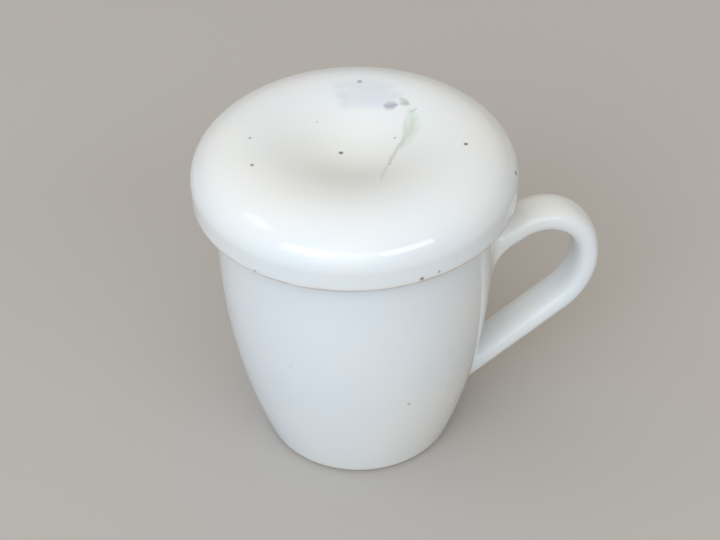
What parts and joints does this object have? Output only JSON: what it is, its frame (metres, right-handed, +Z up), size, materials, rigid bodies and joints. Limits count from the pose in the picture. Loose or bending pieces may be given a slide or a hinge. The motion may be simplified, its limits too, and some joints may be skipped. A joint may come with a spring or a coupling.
{
  "type": "lidded mug",
  "caption": "White porcelain tea mug with a strap handle and a loose, knobless, dished lid that overhangs the rim and carries a faint painted tulip.",
  "frame": {"origin": "on the mug's axis, in the plane of the foot ring it stands on", "axes": "+Z up along the mug's axis; the handle points along +X"},
  "size_m": [0.13, 0.1, 0.113],
  "materials": {
    "mug_body": "glossy clear glaze over white porcelain, bare foot ring",
    "handle": "glossy clear glaze over white porcelain",
    "lid": "glossy clear glaze over white porcelain with an underglaze painted tulip, bare skirt edge"
  },
  "bodies": {
    "mug": {"mug_body": "mug_body", "handle": "handle"},
    "lid": {"lid": "lid"}
  },
  "joints": [
    {"name": "lid_lift", "type": "slide", "parent": "mug", "child": "lid", "axis": [0, 0, 1], "range_m": [0, 0.1]}
  ]
}
